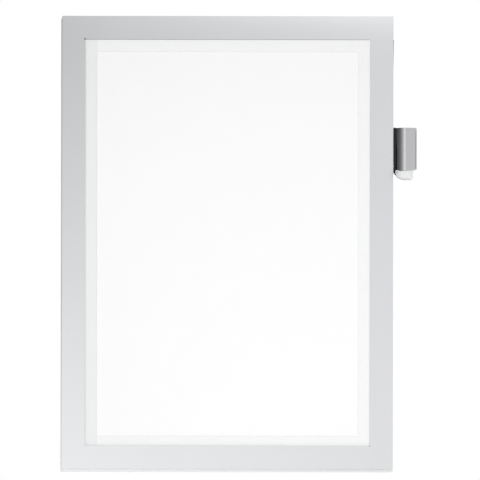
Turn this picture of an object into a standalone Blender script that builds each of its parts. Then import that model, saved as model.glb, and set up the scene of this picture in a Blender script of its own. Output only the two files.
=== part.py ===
"""Magnetic sign frame for one A4 sheet, with a fold-open front and a pen holder at its right edge.

Units are metres and +Z is up. The wall plane is Y = 0 and the front looks along -Y. The origin is the middle
of the top rear magnet strip's back face. The back leaf stays on the wall. The front leaf folds open on a
plastic film hinge along its left edge, and holds itself shut with magnet strips.
"""

import math

import bmesh
import bpy
from mathutils import Matrix, Vector

MM = 0.001

# Clearances
CLEAR = 0.3 * MM
BOND = 0.1 * MM

# Insert sheet
SHEET_WIDTH = 210.0 * MM
SHEET_HEIGHT = 297.0 * MM
SHEET_THICKNESS = 0.15 * MM
SHEET_COVER_SIDE = 4.05 * MM
SHEET_COVER_END = 4.5 * MM
SHEET_PLAY = 0.6 * MM

# Leaves
BORDER_SIDE = 16.8 * MM
BORDER_END = 16.9 * MM
GRIP_LIP = 2.3 * MM
CORNER_RADIUS = 1.5 * MM
CORNER_STEPS = 5
FACE_THICKNESS = 0.25 * MM
FACE_EDGE = 0.06 * MM
PANEL_THICKNESS = 0.45 * MM
PANEL_EDGE = 0.1 * MM

# Magnet strips
STRIP_INSET = 0.5 * MM
STRIP_SETBACK = 0.4 * MM
REAR_STRIP_WIDTH = 16.0 * MM
REAR_STRIP_THICKNESS = 0.9 * MM
COUNTER_STRIP_THICKNESS = 0.5 * MM
FRONT_STRIP_THICKNESS = 0.5 * MM

# Clear retaining film, whose visible bands lie inside the window
FILM_THICKNESS = 0.2 * MM
FILM_INSET = 0.25 * MM
FILM_BAND_SIDE = 8.3 * MM
FILM_BAND_TOP = 8.7 * MM
FILM_BAND_BOTTOM = 6.6 * MM

# Hinge film along the left edge
HINGE_THICKNESS = 0.2 * MM
HINGE_FLAP = 6.0 * MM
HINGE_END_INSET = 2.0 * MM
FOLD_REACH = 0.6 * MM
FOLD_STEPS = 10

# Pen holder
TUBE_DROP = 79.1 * MM
TUBE_HEIGHT = 29.8 * MM
TUBE_RADIUS = 7.45 * MM
TUBE_WALL = 0.7 * MM
TUBE_RIM_EDGE = 0.12 * MM
TUBE_RIM_DIP = 1.2 * MM
TUBE_STEPS = 60
WEB_THICKNESS = 1.05 * MM
WEB_FRONT_MARGIN = 1.8 * MM
WEB_TAIL_LEFT = 1.7 * MM
WEB_TAIL_RIGHT = 4.0 * MM
NECK_WIDTH = 2.4 * MM
LINER_WALL = 0.9 * MM
LINER_TOP_RECESS = 0.5 * MM
LINER_END_RAISE = 1.5 * MM
LINER_STEPS = 48
TAB_REACH = 10.0 * MM
TAB_HEIGHT = 24.0 * MM
TAB_CORNER = 2.0 * MM
PAD_THICKNESS = 0.3 * MM
PAD_MARGIN = 0.8 * MM

# Stop under the pen tube, measured from the tube's axis and from its lower rim at the sides
STOP_TOP_DROP = 1.5 * MM
STOP_DEPTH = 6.0 * MM
STOP_LEFT = 7.1 * MM
STOP_RIGHT = 5.1 * MM
STOP_FOOT_LEFT = 0.6 * MM
STOP_FOOT_RIGHT = 1.8 * MM
STOP_LEFT_STRAIGHT = 0.35
STOP_RIGHT_STRAIGHT = 0.6
STOP_LEFT_POWER = 1.8
STOP_RIGHT_POWER = 4.0
STOP_LOFT_STEPS = 12
STOP_ROUND_STEPS = 40
STOP_PLUG_HEIGHT = 4.0 * MM
STOP_PLUG_EDGE = 0.4 * MM
STOP_POCKET_RADIUS = 4.2 * MM
STOP_POCKET_DEPTH = 3.4 * MM
STOP_POCKET_FLOOR_RADIUS = 3.0 * MM

# Overshoot of a cutter past the faces that it cuts
CUT_PAST = 1.0 * MM

# Places across the leaves, worked out from the sheet
WINDOW_WIDTH = SHEET_WIDTH - 2 * SHEET_COVER_SIDE
WINDOW_HEIGHT = SHEET_HEIGHT - 2 * SHEET_COVER_END
LEFT = -WINDOW_WIDTH / 2 - BORDER_SIDE
RIGHT = WINDOW_WIDTH / 2 + BORDER_SIDE
TOP = STRIP_INSET + REAR_STRIP_WIDTH / 2
WINDOW_TOP = TOP - BORDER_END
WINDOW_BOTTOM = WINDOW_TOP - WINDOW_HEIGHT
FRONT_BOTTOM = WINDOW_BOTTOM - BORDER_END
BACK_BOTTOM = FRONT_BOTTOM - GRIP_LIP

# Distances out from the wall, layer by layer
PANEL_BACK = REAR_STRIP_THICKNESS + BOND
PANEL_FRONT = PANEL_BACK + PANEL_THICKNESS
SHEET_BACK = PANEL_FRONT + CLEAR
COUNTER_BACK = PANEL_FRONT + BOND
COUNTER_FRONT = COUNTER_BACK + COUNTER_STRIP_THICKNESS
FILM_BACK = COUNTER_FRONT + CLEAR
FILM_FRONT = FILM_BACK + FILM_THICKNESS
FRONT_STRIP_BACK = FILM_FRONT + BOND
FRONT_STRIP_FRONT = FRONT_STRIP_BACK + FRONT_STRIP_THICKNESS
FACE_BACK = FRONT_STRIP_FRONT + BOND
FACE_FRONT = FACE_BACK + FACE_THICKNESS

# Hinge: both flaps lie between the back panel and the retaining film, joined by a round fold
FLAP_BACK = PANEL_FRONT + BOND
FLAP_FRONT = FILM_BACK - BOND
HINGE_OUT = (FLAP_BACK + FLAP_FRONT) / 2
FOLD_RADIUS = (FLAP_FRONT - FLAP_BACK) / 2
HINGE_X = LEFT - FOLD_REACH + FOLD_RADIUS
FLAP_END = LEFT + HINGE_FLAP

# Pen holder, measured from the back leaf's right edge
WEB_LEFT = RIGHT + CLEAR
WEB_RIGHT = WEB_LEFT + WEB_THICKNESS
TUBE_X = WEB_RIGHT + CLEAR + TUBE_RADIUS
TUBE_OUT = TUBE_RADIUS + CLEAR
TUBE_TOP = TOP - TUBE_DROP
TUBE_BOTTOM = TUBE_TOP - TUBE_HEIGHT
TUBE_BORE = TUBE_RADIUS - TUBE_WALL
LINER_RADIUS = TUBE_BORE - CLEAR
LINER_BORE = LINER_RADIUS - LINER_WALL
LINER_TOP = TUBE_TOP - LINER_TOP_RECESS
LINER_BOTTOM = TUBE_BOTTOM + LINER_END_RAISE
TAB_LEFT = RIGHT - TAB_REACH
TAB_MIDDLE = (TUBE_TOP + TUBE_BOTTOM) / 2
TAB_THICKNESS = REAR_STRIP_THICKNESS - BOND - PAD_THICKNESS


def clear_scene():
    """Remove every object that the file opened with."""
    for item in list(bpy.data.objects):
        bpy.data.objects.remove(item, do_unlink=True)


def make_material(name, colour, roughness, metallic=0.0):
    """Return a Principled BSDF material."""
    material = bpy.data.materials.new(name)
    material.use_nodes = True
    shader = material.node_tree.nodes["Principled BSDF"]
    shader.inputs["Base Color"].default_value = (*colour, 1.0)
    shader.inputs["Roughness"].default_value = roughness
    shader.inputs["Metallic"].default_value = metallic
    return material


def add_object(name, bm, material, parent=None):
    """Turn a bmesh into a named object, kept in place under its parent."""
    bmesh.ops.recalc_face_normals(bm, faces=bm.faces)
    mesh = bpy.data.meshes.new(name)
    bm.to_mesh(mesh)
    bm.free()
    if material is not None:
        mesh.materials.append(material)
    item = bpy.data.objects.new(name, mesh)
    bpy.context.scene.collection.objects.link(item)
    if parent is not None:
        item.parent = parent
        item.matrix_parent_inverse = Matrix.Translation(-parent.location)
    return item


def add_boolean(item, cutter, operation):
    """Join or cut an object with a helper, which the finished model leaves out."""
    cutter.hide_render = True
    cutter.display_type = "WIRE"
    modifier = item.modifiers.new(cutter.name, "BOOLEAN")
    modifier.operation = operation
    modifier.solver = "EXACT"
    modifier.object = cutter


def add_bevel(item, width, segments=2):
    """Break the sharp edges of a finished plate."""
    modifier = item.modifiers.new("Broken edges", "BEVEL")
    modifier.width = width
    modifier.segments = segments
    modifier.limit_method = "ANGLE"
    modifier.angle_limit = math.radians(60.0)


def shade_round(item, angle=35.0):
    """Shade a round piece smooth, apart from its sharp edges."""
    item.data.shade_smooth()
    item.data.set_sharp_from_angle(angle=math.radians(angle))


def block(left, right, bottom, top, near, far):
    """Return a box as a bmesh; near and far are distances out from the wall."""
    bm = bmesh.new()
    bmesh.ops.create_cube(bm, size=1.0)
    bmesh.ops.scale(bm, vec=(right - left, far - near, top - bottom), verts=bm.verts)
    middle = ((left + right) / 2, -(near + far) / 2, (bottom + top) / 2)
    bmesh.ops.translate(bm, vec=middle, verts=bm.verts)
    return bm


def round_corners(bm, radius, only_left=False):
    """Round the corners of a plate that lies in the XZ plane."""
    middle = sum(vert.co.x for vert in bm.verts) / len(bm.verts)
    edges = []
    for edge in bm.edges:
        first, second = (vert.co for vert in edge.verts)
        runs_through = abs(first.x - second.x) < radius / 10 and abs(first.z - second.z) < radius / 10
        if runs_through and (first.x < middle or not only_left):
            edges.append(edge)
    bmesh.ops.bevel(bm, geom=edges, offset=radius, segments=CORNER_STEPS, profile=0.5, affect="EDGES", material=-1)
    return bm


def add_plate(name, rect, near, far, material, parent=None):
    """Add a plain plate: rect holds its left, right, bottom and top."""
    return add_object(name, block(*rect, near, far), material, parent)


def ring_of_strips(prefix, outer, inner, near, far, material, parent=None, left_start=None):
    """Add four strips between two rectangles: the end strips run the full width, the side strips between them.

    left_start moves the left ends of all the strips inwards, to leave room for the hinge film.
    """
    left, right, bottom, top = outer
    inner_left, inner_right, inner_bottom, inner_top = inner
    start = left if left_start is None else left_start
    side_bottom = inner_bottom + CLEAR
    side_top = inner_top - CLEAR
    places = {
        "top": (start, right, inner_top, top),
        "bottom": (start, right, bottom, inner_bottom),
        "left": (start, inner_left, side_bottom, side_top),
        "right": (inner_right, right, side_bottom, side_top),
    }
    return {side: add_plate(f"{prefix}_{side}", rect, near, far, material, parent) for side, rect in places.items()}


def add_back_leaf(materials):
    """Back panel, rear magnet strips that hold to steel, and counter strips that hold the front leaf shut."""
    panel = round_corners(block(LEFT, RIGHT, BACK_BOTTOM, TOP, PANEL_BACK, PANEL_FRONT), CORNER_RADIUS)
    add_bevel(add_object("back_panel", panel, materials["silver_film"]), PANEL_EDGE)

    outer = (LEFT + STRIP_INSET, RIGHT - STRIP_INSET, BACK_BOTTOM + STRIP_INSET, TOP - STRIP_INSET)
    inner = (
        outer[0] + REAR_STRIP_WIDTH,
        outer[1] - REAR_STRIP_WIDTH,
        outer[2] + REAR_STRIP_WIDTH,
        outer[3] - REAR_STRIP_WIDTH,
    )
    rear = ring_of_strips("rear_strip", outer, inner, 0.0, REAR_STRIP_THICKNESS, materials["magnet_rubber"])
    notch = block(
        TAB_LEFT - CLEAR,
        RIGHT + CUT_PAST,
        TAB_MIDDLE - TAB_HEIGHT / 2 - CLEAR,
        TAB_MIDDLE + TAB_HEIGHT / 2 + CLEAR,
        -CUT_PAST,
        REAR_STRIP_THICKNESS + CUT_PAST,
    )
    round_corners(notch, TAB_CORNER + CLEAR, only_left=True)
    add_boolean(rear["right"], add_object("cutter_tab_notch", notch, None), "DIFFERENCE")

    counter_outer = (LEFT + STRIP_INSET, RIGHT - STRIP_INSET, FRONT_BOTTOM + STRIP_INSET, TOP - STRIP_INSET)
    counter_inner = (
        -SHEET_WIDTH / 2 - SHEET_PLAY,
        SHEET_WIDTH / 2 + SHEET_PLAY,
        WINDOW_BOTTOM - SHEET_COVER_END - SHEET_PLAY,
        WINDOW_TOP + SHEET_COVER_END + SHEET_PLAY,
    )
    ring_of_strips(
        "counter_strip",
        counter_outer,
        counter_inner,
        COUNTER_BACK,
        COUNTER_FRONT,
        materials["magnet_rubber"],
        left_start=FLAP_END + CLEAR,
    )


def add_insert_sheet(materials):
    """Blank paper sheet, loose on the back panel and framed by the counter strips."""
    rect = (
        -SHEET_WIDTH / 2,
        SHEET_WIDTH / 2,
        WINDOW_BOTTOM - SHEET_COVER_END,
        WINDOW_TOP + SHEET_COVER_END,
    )
    add_plate("insert_sheet", rect, SHEET_BACK, SHEET_BACK + SHEET_THICKNESS, materials["paper"])


def add_hinge_film(materials):
    """Thin film folded round the left edge: one flap on the back panel, one on the front leaf."""
    middle_radius = FOLD_RADIUS - HINGE_THICKNESS / 2
    path = [Vector((FLAP_END, -HINGE_OUT + middle_radius))]
    for step in range(FOLD_STEPS + 1):
        angle = math.pi / 2 + math.pi * step / FOLD_STEPS
        path.append(
            Vector((HINGE_X + middle_radius * math.cos(angle), -HINGE_OUT + middle_radius * math.sin(angle)))
        )
    path.append(Vector((FLAP_END, -HINGE_OUT - middle_radius)))

    bm = bmesh.new()
    bottom = FRONT_BOTTOM + HINGE_END_INSET
    verts = [bm.verts.new((point.x, point.y, bottom)) for point in path]
    edges = [bm.edges.new(pair) for pair in zip(verts, verts[1:])]
    raised = bmesh.ops.extrude_edge_only(bm, edges=edges)["geom"]
    raised_verts = [part for part in raised if isinstance(part, bmesh.types.BMVert)]
    bmesh.ops.translate(bm, vec=(0.0, 0.0, TOP - HINGE_END_INSET - bottom), verts=raised_verts)
    film = add_object("hinge_film", bm, materials["clear_film"])
    wall = film.modifiers.new("Wall", "SOLIDIFY")
    wall.thickness = HINGE_THICKNESS
    wall.offset = 0.0
    wall.use_even_offset = True
    shade_round(film)


def add_front_leaf(materials):
    """Face with its window, front magnet strips and clear retaining film, all carried by the hinge axis."""
    axis = bpy.data.objects.new("front_hinge_axis", None)
    axis.location = (HINGE_X, -HINGE_OUT, (TOP + FRONT_BOTTOM) / 2)
    bpy.context.scene.collection.objects.link(axis)

    outline = block(LEFT, RIGHT, FRONT_BOTTOM, TOP, FACE_BACK, FACE_FRONT)
    face = add_object("front_face", round_corners(outline, CORNER_RADIUS), materials["silver_face"], axis)
    window = block(
        -WINDOW_WIDTH / 2,
        WINDOW_WIDTH / 2,
        WINDOW_BOTTOM,
        WINDOW_TOP,
        FACE_BACK - CUT_PAST,
        FACE_FRONT + CUT_PAST,
    )
    add_boolean(face, add_object("cutter_window", window, None), "DIFFERENCE")
    add_bevel(face, FACE_EDGE)

    outer = (LEFT + STRIP_INSET, RIGHT - STRIP_INSET, FRONT_BOTTOM + STRIP_INSET, TOP - STRIP_INSET)
    inner = (
        -WINDOW_WIDTH / 2 - STRIP_SETBACK,
        WINDOW_WIDTH / 2 + STRIP_SETBACK,
        WINDOW_BOTTOM - STRIP_SETBACK,
        WINDOW_TOP + STRIP_SETBACK,
    )
    ring_of_strips(
        "front_strip", outer, inner, FRONT_STRIP_BACK, FRONT_STRIP_FRONT, materials["magnet_rubber"], axis
    )

    sheet = block(
        LEFT + FILM_INSET, RIGHT - FILM_INSET, FRONT_BOTTOM + FILM_INSET, TOP - FILM_INSET, FILM_BACK, FILM_FRONT
    )
    film = add_object("retaining_film", round_corners(sheet, CORNER_RADIUS), materials["clear_film"], axis)
    cut_out = block(
        -WINDOW_WIDTH / 2 + FILM_BAND_SIDE,
        WINDOW_WIDTH / 2 - FILM_BAND_SIDE,
        WINDOW_BOTTOM + FILM_BAND_BOTTOM,
        WINDOW_TOP - FILM_BAND_TOP,
        FILM_BACK - CUT_PAST,
        FILM_FRONT + CUT_PAST,
    )
    add_boolean(film, add_object("cutter_film", cut_out, None), "DIFFERENCE")


def spin_profile(points, start, turn, steps, centre):
    """Turn a closed profile, given as radius and height, about a vertical axis and return the bmesh."""
    bm = bmesh.new()
    direction = Vector((math.cos(start), math.sin(start), 0.0))
    middle = Vector(centre)
    verts = [bm.verts.new(middle + direction * radius + Vector((0.0, 0.0, height))) for radius, height in points]
    edges = [bm.edges.new((vert, verts[index - 1])) for index, vert in enumerate(verts)]
    whole = math.isclose(turn, 2 * math.pi)
    end_faces = [] if whole else [bm.faces.new(verts)]
    bmesh.ops.spin(
        bm,
        geom=[*verts, *edges, *end_faces],
        cent=middle,
        axis=(0.0, 0.0, 1.0),
        angle=turn,
        steps=steps,
        use_merge=whole,
    )
    return bm


def add_pen_tube(materials):
    """Rolled metal sleeve, open along a slot on the frame's side, its lower rim dipping towards the front."""
    edge = TUBE_RIM_EDGE
    profile = [
        (TUBE_RADIUS, TUBE_BOTTOM + edge),
        (TUBE_RADIUS, TUBE_TOP - edge),
        (TUBE_RADIUS - edge, TUBE_TOP),
        (TUBE_BORE + edge, TUBE_TOP),
        (TUBE_BORE, TUBE_TOP - edge),
        (TUBE_BORE, TUBE_BOTTOM + edge),
        (TUBE_BORE + edge, TUBE_BOTTOM),
        (TUBE_RADIUS - edge, TUBE_BOTTOM),
    ]
    half_slot = math.asin((NECK_WIDTH / 2 + CLEAR) / TUBE_BORE)
    bm = spin_profile(
        profile, math.pi + half_slot, 2 * math.pi - 2 * half_slot, TUBE_STEPS, (TUBE_X, -TUBE_OUT, 0.0)
    )
    for vert in bm.verts:
        if vert.co.z < (TUBE_TOP + TUBE_BOTTOM) / 2:
            vert.co.z += TUBE_RIM_DIP * (vert.co.y + TUBE_OUT) / TUBE_RADIUS
    shade_round(add_object("pen_tube", bm, materials["satin_metal"]))


def add_pen_bracket(materials):
    """Moulded bracket: tab behind the frame, web beside the tube, neck through the slot, liner inside the tube."""
    web_bottom = TUBE_BOTTOM - WEB_TAIL_RIGHT
    web = block(WEB_LEFT, WEB_RIGHT, web_bottom, TUBE_TOP, 0.0, TUBE_OUT + WEB_FRONT_MARGIN)
    for vert in web.verts:
        if vert.co.z < TUBE_BOTTOM and vert.co.x < (WEB_LEFT + WEB_RIGHT) / 2:
            vert.co.z = TUBE_BOTTOM - WEB_TAIL_LEFT
    bracket = add_object("pen_bracket", web, materials["black_plastic"])

    tab = block(
        TAB_LEFT,
        (WEB_LEFT + WEB_RIGHT) / 2,
        TAB_MIDDLE - TAB_HEIGHT / 2,
        TAB_MIDDLE + TAB_HEIGHT / 2,
        0.0,
        TAB_THICKNESS,
    )
    round_corners(tab, TAB_CORNER, only_left=True)
    add_boolean(bracket, add_object("joiner_tab", tab, None), "UNION")

    neck = block(
        (WEB_LEFT + WEB_RIGHT) / 2,
        TUBE_X - LINER_RADIUS + LINER_WALL / 2,
        LINER_BOTTOM,
        LINER_TOP,
        TUBE_OUT - NECK_WIDTH / 2,
        TUBE_OUT + NECK_WIDTH / 2,
    )
    add_boolean(bracket, add_object("joiner_neck", neck, None), "UNION")

    ring = [
        (LINER_RADIUS, LINER_BOTTOM),
        (LINER_RADIUS, LINER_TOP),
        (LINER_BORE, LINER_TOP),
        (LINER_BORE, LINER_BOTTOM),
    ]
    liner = spin_profile(ring, 0.0, 2 * math.pi, LINER_STEPS, (TUBE_X, -TUBE_OUT, 0.0))
    add_boolean(bracket, add_object("joiner_liner", liner, None), "UNION")

    pad = block(
        TAB_LEFT + PAD_MARGIN,
        RIGHT - STRIP_INSET,
        TAB_MIDDLE - TAB_HEIGHT / 2 + PAD_MARGIN,
        TAB_MIDDLE + TAB_HEIGHT / 2 - PAD_MARGIN,
        TAB_THICKNESS + BOND,
        TAB_THICKNESS + BOND + PAD_THICKNESS,
    )
    pad_corner = TAB_CORNER - PAD_MARGIN
    add_object("bracket_pad", round_corners(pad, pad_corner, only_left=True), materials["adhesive_foam"])


def loft_rings(rings, steps):
    """Join level rings, each given as middle X, radius and height, into one closed skin with flat ends."""
    bm = bmesh.new()
    middle, radius, height = rings[0]
    place = Matrix.Translation((middle, -TUBE_OUT, height))
    circle = bmesh.ops.create_circle(bm, cap_ends=True, segments=steps, radius=radius, matrix=place)["verts"]
    for next_middle, next_radius, next_height in rings[1:]:
        edges = list({edge for vert in circle for edge in vert.link_edges if all(v in circle for v in edge.verts)})
        grown = bmesh.ops.extrude_edge_only(bm, edges=edges)["geom"]
        circle = [part for part in grown if isinstance(part, bmesh.types.BMVert)]
        ratio = next_radius / radius
        centre = Matrix.Translation((-middle, TUBE_OUT, 0.0))
        bmesh.ops.scale(bm, vec=(ratio, ratio, 1.0), space=centre, verts=circle)
        bmesh.ops.translate(bm, vec=(next_middle - middle, 0.0, next_height - height), verts=circle)
        middle, radius, height = next_middle, next_radius, next_height
    bm.faces.new(circle)
    return bm


def stop_ring(share):
    """Return one level of the stop's foot: share runs from 0 at its top to 1 at its lowest face."""
    left_share = max(0.0, (share - STOP_LEFT_STRAIGHT) / (1 - STOP_LEFT_STRAIGHT))
    right_share = max(0.0, (share - STOP_RIGHT_STRAIGHT) / (1 - STOP_RIGHT_STRAIGHT))
    left = STOP_LEFT + (STOP_FOOT_LEFT - STOP_LEFT) * left_share**STOP_LEFT_POWER
    right = STOP_RIGHT + (STOP_FOOT_RIGHT - STOP_RIGHT) * right_share**STOP_RIGHT_POWER
    height = TUBE_BOTTOM - STOP_TOP_DROP - STOP_DEPTH * share
    return TUBE_X + (right - left) / 2, (right + left) / 2, height


def add_pen_stop(materials):
    """Frosted stop that plugs into the liner from below and catches the pen's tip in its pocket."""
    rings = [stop_ring(1 - step / STOP_LOFT_STEPS) for step in range(STOP_LOFT_STEPS + 1)]
    plug_radius = LINER_BORE - CLEAR
    plug_top = LINER_BOTTOM + STOP_PLUG_HEIGHT
    shoulder = TUBE_BOTTOM - STOP_TOP_DROP
    rings += [
        (TUBE_X, plug_radius, shoulder),
        (TUBE_X, plug_radius, plug_top - STOP_PLUG_EDGE),
        (TUBE_X, plug_radius - STOP_PLUG_EDGE, plug_top),
        (TUBE_X, STOP_POCKET_RADIUS, plug_top),
        (TUBE_X, STOP_POCKET_RADIUS, shoulder - STOP_POCKET_DEPTH),
        (TUBE_X, STOP_POCKET_FLOOR_RADIUS, shoulder - STOP_POCKET_DEPTH - STOP_PLUG_EDGE),
    ]
    shade_round(add_object("pen_stop", loft_rings(rings, STOP_ROUND_STEPS), materials["frosted_plastic"]))


def main():
    clear_scene()
    materials = {
        "silver_face": make_material("silver_face", (0.66, 0.67, 0.68), 0.42, 0.35),
        "silver_film": make_material("silver_film", (0.68, 0.69, 0.70), 0.45, 0.2),
        "magnet_rubber": make_material("magnet_rubber", (0.035, 0.032, 0.03), 0.7),
        "clear_film": make_material("clear_film", (0.86, 0.88, 0.87), 0.12),
        "paper": make_material("paper", (0.94, 0.94, 0.94), 0.85),
        "satin_metal": make_material("satin_metal", (0.62, 0.62, 0.65), 0.28, 1.0),
        "black_plastic": make_material("black_plastic", (0.02, 0.021, 0.022), 0.45),
        "adhesive_foam": make_material("adhesive_foam", (0.78, 0.78, 0.76), 0.9),
        "frosted_plastic": make_material("frosted_plastic", (0.82, 0.83, 0.83), 0.35),
    }
    add_back_leaf(materials)
    add_insert_sheet(materials)
    add_hinge_film(materials)
    add_front_leaf(materials)
    add_pen_bracket(materials)
    add_pen_tube(materials)
    add_pen_stop(materials)


main()
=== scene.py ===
"""Magnetic sign frame with a pen holder: finished pieces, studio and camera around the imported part."""

import math

import bmesh
import bpy
from bpy.props import FloatProperty, FloatVectorProperty, IntProperty, PointerProperty
from bpy.types import Operator, Panel, PropertyGroup
from mathutils import Matrix, Vector


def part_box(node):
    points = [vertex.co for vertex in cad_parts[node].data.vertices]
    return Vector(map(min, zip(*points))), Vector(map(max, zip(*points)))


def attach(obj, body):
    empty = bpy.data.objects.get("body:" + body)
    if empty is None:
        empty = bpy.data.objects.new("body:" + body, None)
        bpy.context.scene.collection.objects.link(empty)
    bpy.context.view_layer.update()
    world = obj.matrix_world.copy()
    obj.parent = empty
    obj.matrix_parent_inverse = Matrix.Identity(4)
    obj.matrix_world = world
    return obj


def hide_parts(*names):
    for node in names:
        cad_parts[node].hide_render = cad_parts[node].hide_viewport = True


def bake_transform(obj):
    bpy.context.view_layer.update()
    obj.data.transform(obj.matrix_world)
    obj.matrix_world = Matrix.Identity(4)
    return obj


bl_info = {
    "name": "Magnetic sign frame",
    "version": (1, 0, 0),
    "blender": (4, 5, 0),
    "location": "3D View > Sidebar > Sign Frame",
    "description": "Finished pieces and studio for a magnetic sign frame with a pen holder",
    "category": "Object",
}

MM = 0.001

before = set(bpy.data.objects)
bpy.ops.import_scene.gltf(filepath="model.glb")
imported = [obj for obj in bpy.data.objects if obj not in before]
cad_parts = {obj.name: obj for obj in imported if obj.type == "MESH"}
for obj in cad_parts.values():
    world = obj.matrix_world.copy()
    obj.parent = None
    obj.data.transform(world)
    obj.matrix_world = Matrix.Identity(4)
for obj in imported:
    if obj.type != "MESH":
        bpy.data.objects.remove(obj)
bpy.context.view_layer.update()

FACE_LOW, FACE_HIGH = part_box("front_face")
PANEL_LOW, PANEL_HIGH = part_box("back_panel")
TUBE_LOW, TUBE_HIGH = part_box("pen_tube")
STOP_LOW, STOP_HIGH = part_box("pen_stop")
HINGE_LOW, HINGE_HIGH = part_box("hinge_film")

LEFT = FACE_LOW.x
RIGHT = FACE_HIGH.x
TOP = FACE_HIGH.z
FACE_BOTTOM = FACE_LOW.z

# Lower left and upper right corner of the clear film's cut-out
CUTOUT_LOW = (-92.65 * MM, -289.8 * MM)
CUTOUT_HIGH = (92.65 * MM, -17.1 * MM)

# A round corner's cut along its edges, as a share of the radius
CORNER_CUT = 0.8
# Width and drop of the face's rolled foot, as shares of the rolled left edge's
FOOT_ROLL = 0.6

# Pen holder, as the CAD has it
TUBE_LEVEL = (TUBE_LOW.z + TUBE_HIGH.z) / 2
WEB_LEFT = RIGHT + 0.3 * MM
WEB_RIGHT = WEB_LEFT + 1.05 * MM
NECK_LOW = TUBE_LOW.z + 3.4 * MM
TAB_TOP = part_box("bracket_pad")[1].z + 0.8 * MM

# How far a point may lie from a plane and still count as on it
SLACK = 0.02 * MM


# Sizes and colours


def length_value(name, description, value):
    """Length setting."""
    return FloatProperty(name=name, description=description, default=value, unit="LENGTH")


def plain_value(name, description, value, low=0.0, high=1.0):
    """Setting without a unit, between two limits."""
    return FloatProperty(name=name, description=description, default=value, min=low, max=high)


def colour_value(name, description, value):
    """Colour setting."""
    return FloatVectorProperty(
        name=name, description=description, subtype="COLOR", size=3, default=value, min=0.0, max=1.0
    )


def count_value(name, description, value, low, high):
    """Whole number setting."""
    return IntProperty(name=name, description=description, default=value, min=low, max=high)


class FaceSettings(PropertyGroup):
    """Front leaf's silver face."""

    colour: colour_value("Silver", "Colour of the satin silver face", (0.69, 0.695, 0.705))
    roughness: plain_value("Roughness", "Mean roughness of the satin face", 0.37, 0.05)
    border_left: length_value("Left border", "Border left of the window", 16.6 * MM)
    border_right: length_value("Right border", "Border right of the window", 16.45 * MM)
    border_top: length_value("Top border", "Border above the window", 16.65 * MM)
    border_bottom: length_value("Bottom border", "Border below the window", 16.5 * MM)
    roll_width: length_value("Rolled edge width", "How far the left edge's roll reaches in", 1.0 * MM)
    roll_drop: length_value("Rolled edge drop", "How far the left edge rolls back", 0.11 * MM)
    nick: length_value("Upper nick", "Radius of the cutting nick in the window's upper left corner", 0.62 * MM)
    low_nick: length_value("Lower nick", "Radius of the cutting nick in the window's lower right corner", 0.34 * MM)
    corner: length_value("Round corner", "Radius of the top left and bottom right corners", 1.5 * MM)
    sharp_corner: length_value("Tight corner", "Radius of the other two corners", 0.5 * MM)


class LeafSettings(PropertyGroup):
    """Back leaf, magnets, sheet and films."""

    panel_colour: colour_value("Panel", "Colour of the back panel", (0.77, 0.775, 0.78))
    hinge_colour: colour_value("Hinge film", "Colour of the folded hinge film", (0.66, 0.665, 0.675))
    rubber_colour: colour_value("Magnet rubber", "Colour of the magnetic rubber", (0.034, 0.031, 0.029))
    paper_colour: colour_value("Sheet", "Colour of the blank sheet", (0.93, 0.93, 0.93))
    film_colour: colour_value("Film", "Tint of the clear film", (0.42, 0.44, 0.435))
    panel_corner: length_value("Panel corner", "Radius of the back panel's corners", 2.0 * MM)
    panel_edge: length_value("Panel edge", "Rounding of the back panel's edges", 0.1 * MM)
    film_cover: plain_value("Film cover", "Share of the light that each face of the clear film keeps", 0.020)
    rim_cover: plain_value("Film edge", "Further share of the light kept along the film's cut edge", 0.05)
    # Painted shade: how much darker the film's band on the hinge side is made
    side_shade_cover: plain_value("Hinge side haze", "Further share of the light kept on the film's hinge side", 0.027)
    fold_steps: count_value("Fold steps", "Facets round the hinge fold", 24, 6, 64)
    rubber_edge: length_value("Strip edge", "Rounding of the rubber strips' cut edges", 0.06 * MM)
    peek_top: length_value("Top strip peek", "How far the top strip shows below the window's edge", 0.22 * MM)
    bow: length_value("Side strip bow", "How far the right strip's upper end bows outwards", 0.82 * MM)
    bow_length: length_value("Bow length", "Length over which the right strip bows", 101.0 * MM)


class PenSettings(PropertyGroup):
    """Pen holder."""

    metal_colour: colour_value("Sleeve", "Colour of the satin metal sleeve", (0.50, 0.50, 0.515))
    metal_roughness: plain_value("Sleeve roughness", "Mean roughness of the metal sleeve", 0.27, 0.05)
    black_colour: colour_value("Bracket", "Colour of the moulded bracket", (0.010, 0.011, 0.012))
    frosted_colour: colour_value("Stop", "Colour of the frosted stop", (0.77, 0.78, 0.78))
    sleeve_wall: length_value("Sleeve wall", "Wall of the metal sleeve", 0.5 * MM)
    sleeve_trim: length_value("Sleeve trim", "How much slimmer the sleeve is than the plain tube", 0.2 * MM)
    rim_round: length_value("Rim", "Rounding of the sleeve's rims", 0.22 * MM)
    rim_dip: length_value("Rim dip", "How far the lower rim dips at the front", 0.85 * MM)
    side_dip: length_value("Side dip", "How far the lower rim dips on the frame's side", 0.42 * MM)
    top_drop: length_value("Top drop", "How far the tops of sleeve and bracket lie below the CAD's", 0.3 * MM)
    web_close: length_value("Web closing", "How far the web's side closes up to the sleeve", 0.35 * MM)
    foot_close: length_value("Foot closing", "How much further it closes up below the web's neck", 0.3 * MM)
    tail_lean: length_value("Tail lean", "How far the web's tail leans under the sleeve", 0.4 * MM)
    slot_width: length_value("Slot", "Width of the sleeve's slot", 3.0 * MM)
    edge_round: length_value("Moulded edge", "Rounding of the bracket's edges", 0.055 * MM)
    round_steps: count_value("Round steps", "Facets round the sleeve", 144, 24, 512)


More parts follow.
